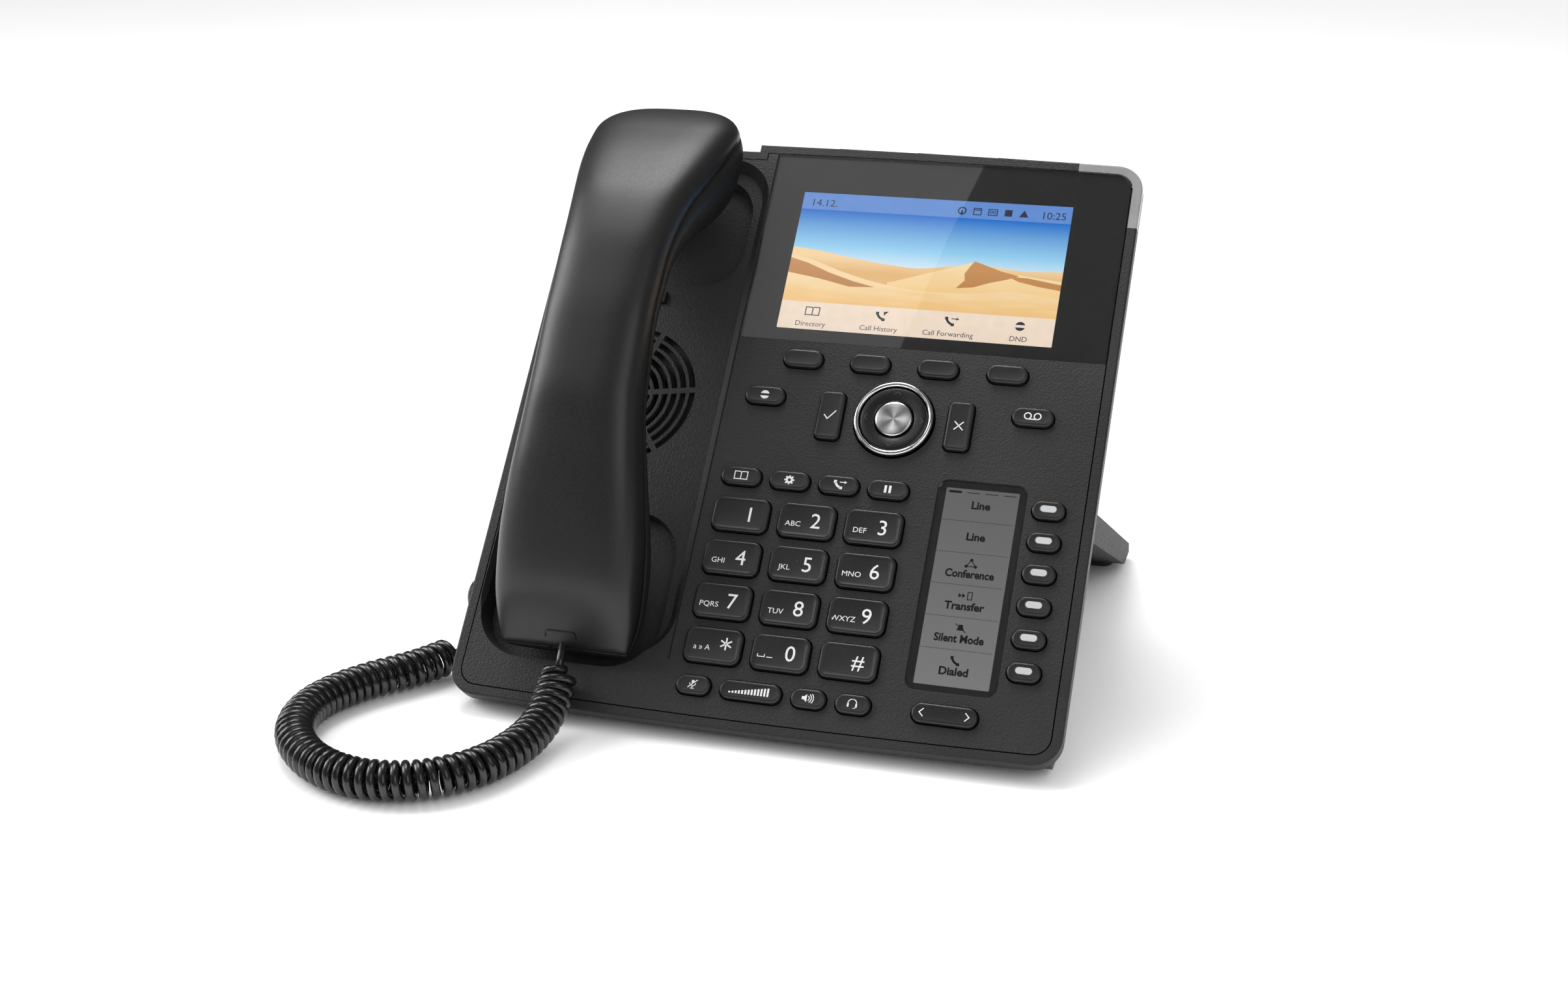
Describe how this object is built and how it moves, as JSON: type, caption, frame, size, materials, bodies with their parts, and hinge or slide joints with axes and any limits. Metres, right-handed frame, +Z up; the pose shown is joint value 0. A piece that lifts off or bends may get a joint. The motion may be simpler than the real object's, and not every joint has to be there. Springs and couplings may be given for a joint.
{
  "type": "desk ip phone",
  "caption": "Tilted desk telephone with a corded handset in a side cradle, colour display, keypad, label display and a clip-on foot.",
  "frame": {"origin": "middle of the phone, without its cord, on the desk under it", "axes": "+X to the user's right, +Y to the back, +Z up"},
  "size_m": [0.2469, 0.2709, 0.1784],
  "materials": {
    "key_plastic": "fine satin, printed legends",
    "brushed_metal": "spun brushed",
    "trim_metal": "polished",
    "gloss_black": "satin black",
    "housing_plastic": "fine texture",
    "panel_plastic": "fine leather-like texture",
    "cover_plastic": "fine texture",
    "stand_plastic": "fine texture",
    "rubber": "matt",
    "screw_steel": "zinc plated",
    "display_glass": "glossy black cover glass",
    "label_glass": "glossy",
    "display_image": "backlit",
    "light_lens": "translucent smoke",
    "silicone_mat": "matt",
    "circuit_board": "solder mask",
    "speaker_cone": "paper and steel",
    "jack_plastic": "moulded",
    "hook_plastic": "smooth",
    "handset_plastic": "fine satin",
    "handset_front_plastic": "fine satin",
    "capsule_metal": "plain",
    "clear_plug": "clear smoke",
    "cord_jacket": "glossy elastomer"
  },
  "bodies": {
    "housing": {"alert_light": "light_lens", "base_plug": "clear_plug", "cord_coil": "cord_jacket", "display_lens": "display_glass", "display_modules": "display_image", "foot_stand": "stand_plastic", "front_frame": "housing_plastic", "front_panel": "panel_plastic", "housing_screws": "screw_steel", "jack_blocks": "jack_plastic", "keypad_membrane": "silicone_mat", "label_lens": "label_glass", "loudspeaker": "speaker_cone", "main_board": "circuit_board", "rear_cover": "cover_plastic", "rubber_feet": "rubber"},
    "cancel_key": {"cancel_key": "key_plastic"},
    "confirm_key": {"confirm_key": "key_plastic"},
    "dial_key_0": {"dial_key_0": "key_plastic"},
    "dial_key_1": {"dial_key_1": "key_plastic"},
    "dial_key_2": {"dial_key_2": "key_plastic"},
    "dial_key_3": {"dial_key_3": "key_plastic"},
    "dial_key_4": {"dial_key_4": "key_plastic"},
    "dial_key_5": {"dial_key_5": "key_plastic"},
    "dial_key_6": {"dial_key_6": "key_plastic"},
    "dial_key_7": {"dial_key_7": "key_plastic"},
    "dial_key_8": {"dial_key_8": "key_plastic"},
    "dial_key_9": {"dial_key_9": "key_plastic"},
    "dial_key_hash": {"dial_key_hash": "key_plastic"},
    "dial_key_star": {"dial_key_star": "key_plastic"},
    "dnd_key": {"dnd_key": "key_plastic"},
    "function_key_1": {"function_key_1": "key_plastic"},
    "function_key_2": {"function_key_2": "key_plastic"},
    "function_key_3": {"function_key_3": "key_plastic"},
    "function_key_4": {"function_key_4": "key_plastic"},
    "headset_key": {"headset_key": "key_plastic"},
    "line_key_1": {"line_key_1": "key_plastic"},
    "line_key_2": {"line_key_2": "key_plastic"},
    "line_key_3": {"line_key_3": "key_plastic"},
    "line_key_4": {"line_key_4": "key_plastic"},
    "line_key_5": {"line_key_5": "key_plastic"},
    "line_key_6": {"line_key_6": "key_plastic"},
    "mute_key": {"mute_key": "key_plastic"},
    "soft_key_1": {"soft_key_1": "key_plastic"},
    "soft_key_2": {"soft_key_2": "key_plastic"},
    "soft_key_3": {"soft_key_3": "key_plastic"},
    "soft_key_4": {"soft_key_4": "key_plastic"},
    "speaker_key": {"speaker_key": "key_plastic"},
    "voicemail_key": {"voicemail_key": "key_plastic"},
    "ok_key": {"ok_key": "brushed_metal"},
    "volume_rocker": {"volume_rocker": "key_plastic"},
    "page_rocker": {"page_rocker": "key_plastic"},
    "nav_trim_ring": {"nav_trim_ring": "trim_metal"},
    "nav_pad": {"nav_pad": "gloss_black"},
    "handset": {"handset_back_shell": "handset_plastic", "handset_front_shell": "handset_front_plastic", "handset_capsules": "capsule_metal", "handset_plug": "clear_plug", "cord_lead": "cord_jacket"},
    "hook_switch": {"hook_switch": "hook_plastic"}
  },
  "joints": [
    {"name": "handset_lift", "type": "slide", "parent": "housing", "child": "handset", "axis": [0, -0.7401, 0.6725], "range_m": [0, 0.08]},
    {"name": "hook_switch_rise", "type": "slide", "parent": "housing", "child": "hook_switch", "axis": [0, -0.7401, 0.6725], "range_m": [0, 0.003]},
    {"name": "nav_tilt_up_down", "type": "hinge", "parent": "housing", "child": "nav_trim_ring", "pos_m": [0.0311, -0.02477, 0.08884], "axis": [1, 0, 0], "range_deg": [-2.5, 2.5], "stiffness_Nm_per_rad": 0.03},
    {"name": "nav_tilt_left_right", "type": "hinge", "parent": "nav_trim_ring", "child": "nav_pad", "pos_m": [0.0311, -0.02477, 0.08884], "axis": [0, 0.6725, 0.7401], "range_deg": [-2.5, 2.5], "stiffness_Nm_per_rad": 0.03},
    {"name": "volume_rocker_tilt", "type": "hinge", "parent": "housing", "child": "volume_rocker", "pos_m": [0.0013, -0.09091, 0.01531], "axis": [0, 0.6725, 0.7401], "range_deg": [-3, 3], "stiffness_Nm_per_rad": 0.02},
    {"name": "page_rocker_tilt", "type": "hinge", "parent": "housing", "child": "page_rocker", "pos_m": [0.0642, -0.09084, 0.01538], "axis": [0, 0.6725, 0.7401], "range_deg": [-3, 3], "stiffness_Nm_per_rad": 0.02},
    {"name": "ok_key_press", "type": "slide", "parent": "housing", "child": "ok_key", "axis": [0, 0.7401, -0.6725], "range_m": [0, 0.0012], "stiffness_N_per_m": 350, "springref_m": -0.0012},
    {"name": "cancel_key_press", "type": "slide", "parent": "housing", "child": "cancel_key", "axis": [0, 0.7401, -0.6725], "range_m": [0, 0.0012], "stiffness_N_per_m": 350, "springref_m": -0.0012},
    {"name": "confirm_key_press", "type": "slide", "parent": "housing", "child": "confirm_key", "axis": [0, 0.7401, -0.6725], "range_m": [0, 0.0012], "stiffness_N_per_m": 350, "springref_m": -0.0012},
    {"name": "dial_key_0_press", "type": "slide", "parent": "housing", "child": "dial_key_0", "axis": [0, 0.7401, -0.6725], "range_m": [0, 0.0012], "stiffness_N_per_m": 350, "springref_m": -0.0012},
    {"name": "dial_key_1_press", "type": "slide", "parent": "housing", "child": "dial_key_1", "axis": [0, 0.7401, -0.6725], "range_m": [0, 0.0012], "stiffness_N_per_m": 350, "springref_m": -0.0012},
    {"name": "dial_key_2_press", "type": "slide", "parent": "housing", "child": "dial_key_2", "axis": [0, 0.7401, -0.6725], "range_m": [0, 0.0012], "stiffness_N_per_m": 350, "springref_m": -0.0012},
    {"name": "dial_key_3_press", "type": "slide", "parent": "housing", "child": "dial_key_3", "axis": [0, 0.7401, -0.6725], "range_m": [0, 0.0012], "stiffness_N_per_m": 350, "springref_m": -0.0012},
    {"name": "dial_key_4_press", "type": "slide", "parent": "housing", "child": "dial_key_4", "axis": [0, 0.7401, -0.6725], "range_m": [0, 0.0012], "stiffness_N_per_m": 350, "springref_m": -0.0012},
    {"name": "dial_key_5_press", "type": "slide", "parent": "housing", "child": "dial_key_5", "axis": [0, 0.7401, -0.6725], "range_m": [0, 0.0012], "stiffness_N_per_m": 350, "springref_m": -0.0012},
    {"name": "dial_key_6_press", "type": "slide", "parent": "housing", "child": "dial_key_6", "axis": [0, 0.7401, -0.6725], "range_m": [0, 0.0012], "stiffness_N_per_m": 350, "springref_m": -0.0012},
    {"name": "dial_key_7_press", "type": "slide", "parent": "housing", "child": "dial_key_7", "axis": [0, 0.7401, -0.6725], "range_m": [0, 0.0012], "stiffness_N_per_m": 350, "springref_m": -0.0012},
    {"name": "dial_key_8_press", "type": "slide", "parent": "housing", "child": "dial_key_8", "axis": [0, 0.7401, -0.6725], "range_m": [0, 0.0012], "stiffness_N_per_m": 350, "springref_m": -0.0012},
    {"name": "dial_key_9_press", "type": "slide", "parent": "housing", "child": "dial_key_9", "axis": [0, 0.7401, -0.6725], "range_m": [0, 0.0012], "stiffness_N_per_m": 350, "springref_m": -0.0012},
    {"name": "dial_key_hash_press", "type": "slide", "parent": "housing", "child": "dial_key_hash", "axis": [0, 0.7401, -0.6725], "range_m": [0, 0.0012], "stiffness_N_per_m": 350, "springref_m": -0.0012},
    {"name": "dial_key_star_press", "type": "slide", "parent": "housing", "child": "dial_key_star", "axis": [0, 0.7401, -0.6725], "range_m": [0, 0.0012], "stiffness_N_per_m": 350, "springref_m": -0.0012},
    {"name": "dnd_key_press", "type": "slide", "parent": "housing", "child": "dnd_key", "axis": [0, 0.7401, -0.6725], "range_m": [0, 0.0012], "stiffness_N_per_m": 350, "springref_m": -0.0012},
    {"name": "function_key_1_press", "type": "slide", "parent": "housing", "child": "function_key_1", "axis": [0, 0.7401, -0.6725], "range_m": [0, 0.0012], "stiffness_N_per_m": 350, "springref_m": -0.0012},
    {"name": "function_key_2_press", "type": "slide", "parent": "housing", "child": "function_key_2", "axis": [0, 0.7401, -0.6725], "range_m": [0, 0.0012], "stiffness_N_per_m": 350, "springref_m": -0.0012},
    {"name": "function_key_3_press", "type": "slide", "parent": "housing", "child": "function_key_3", "axis": [0, 0.7401, -0.6725], "range_m": [0, 0.0012], "stiffness_N_per_m": 350, "springref_m": -0.0012},
    {"name": "function_key_4_press", "type": "slide", "parent": "housing", "child": "function_key_4", "axis": [0, 0.7401, -0.6725], "range_m": [0, 0.0012], "stiffness_N_per_m": 350, "springref_m": -0.0012},
    {"name": "headset_key_press", "type": "slide", "parent": "housing", "child": "headset_key", "axis": [0, 0.7401, -0.6725], "range_m": [0, 0.0012], "stiffness_N_per_m": 350, "springref_m": -0.0012},
    {"name": "line_key_1_press", "type": "slide", "parent": "housing", "child": "line_key_1", "axis": [0, 0.7401, -0.6725], "range_m": [0, 0.0012], "stiffness_N_per_m": 350, "springref_m": -0.0012},
    {"name": "line_key_2_press", "type": "slide", "parent": "housing", "child": "line_key_2", "axis": [0, 0.7401, -0.6725], "range_m": [0, 0.0012], "stiffness_N_per_m": 350, "springref_m": -0.0012},
    {"name": "line_key_3_press", "type": "slide", "parent": "housing", "child": "line_key_3", "axis": [0, 0.7401, -0.6725], "range_m": [0, 0.0012], "stiffness_N_per_m": 350, "springref_m": -0.0012},
    {"name": "line_key_4_press", "type": "slide", "parent": "housing", "child": "line_key_4", "axis": [0, 0.7401, -0.6725], "range_m": [0, 0.0012], "stiffness_N_per_m": 350, "springref_m": -0.0012},
    {"name": "line_key_5_press", "type": "slide", "parent": "housing", "child": "line_key_5", "axis": [0, 0.7401, -0.6725], "range_m": [0, 0.0012], "stiffness_N_per_m": 350, "springref_m": -0.0012},
    {"name": "line_key_6_press", "type": "slide", "parent": "housing", "child": "line_key_6", "axis": [0, 0.7401, -0.6725], "range_m": [0, 0.0012], "stiffness_N_per_m": 350, "springref_m": -0.0012},
    {"name": "mute_key_press", "type": "slide", "parent": "housing", "child": "mute_key", "axis": [0, 0.7401, -0.6725], "range_m": [0, 0.0012], "stiffness_N_per_m": 350, "springref_m": -0.0012},
    {"name": "soft_key_1_press", "type": "slide", "parent": "housing", "child": "soft_key_1", "axis": [0, 0.7401, -0.6725], "range_m": [0, 0.0012], "stiffness_N_per_m": 350, "springref_m": -0.0012},
    {"name": "soft_key_2_press", "type": "slide", "parent": "housing", "child": "soft_key_2", "axis": [0, 0.7401, -0.6725], "range_m": [0, 0.0012], "stiffness_N_per_m": 350, "springref_m": -0.0012},
    {"name": "soft_key_3_press", "type": "slide", "parent": "housing", "child": "soft_key_3", "axis": [0, 0.7401, -0.6725], "range_m": [0, 0.0012], "stiffness_N_per_m": 350, "springref_m": -0.0012},
    {"name": "soft_key_4_press", "type": "slide", "parent": "housing", "child": "soft_key_4", "axis": [0, 0.7401, -0.6725], "range_m": [0, 0.0012], "stiffness_N_per_m": 350, "springref_m": -0.0012},
    {"name": "speaker_key_press", "type": "slide", "parent": "housing", "child": "speaker_key", "axis": [0, 0.7401, -0.6725], "range_m": [0, 0.0012], "stiffness_N_per_m": 350, "springref_m": -0.0012},
    {"name": "voicemail_key_press", "type": "slide", "parent": "housing", "child": "voicemail_key", "axis": [0, 0.7401, -0.6725], "range_m": [0, 0.0012], "stiffness_N_per_m": 350, "springref_m": -0.0012}
  ],
  "couplings": [
    {"joint": "hook_switch_rise", "follows": "handset_lift", "ratio": 0.0375}
  ]
}
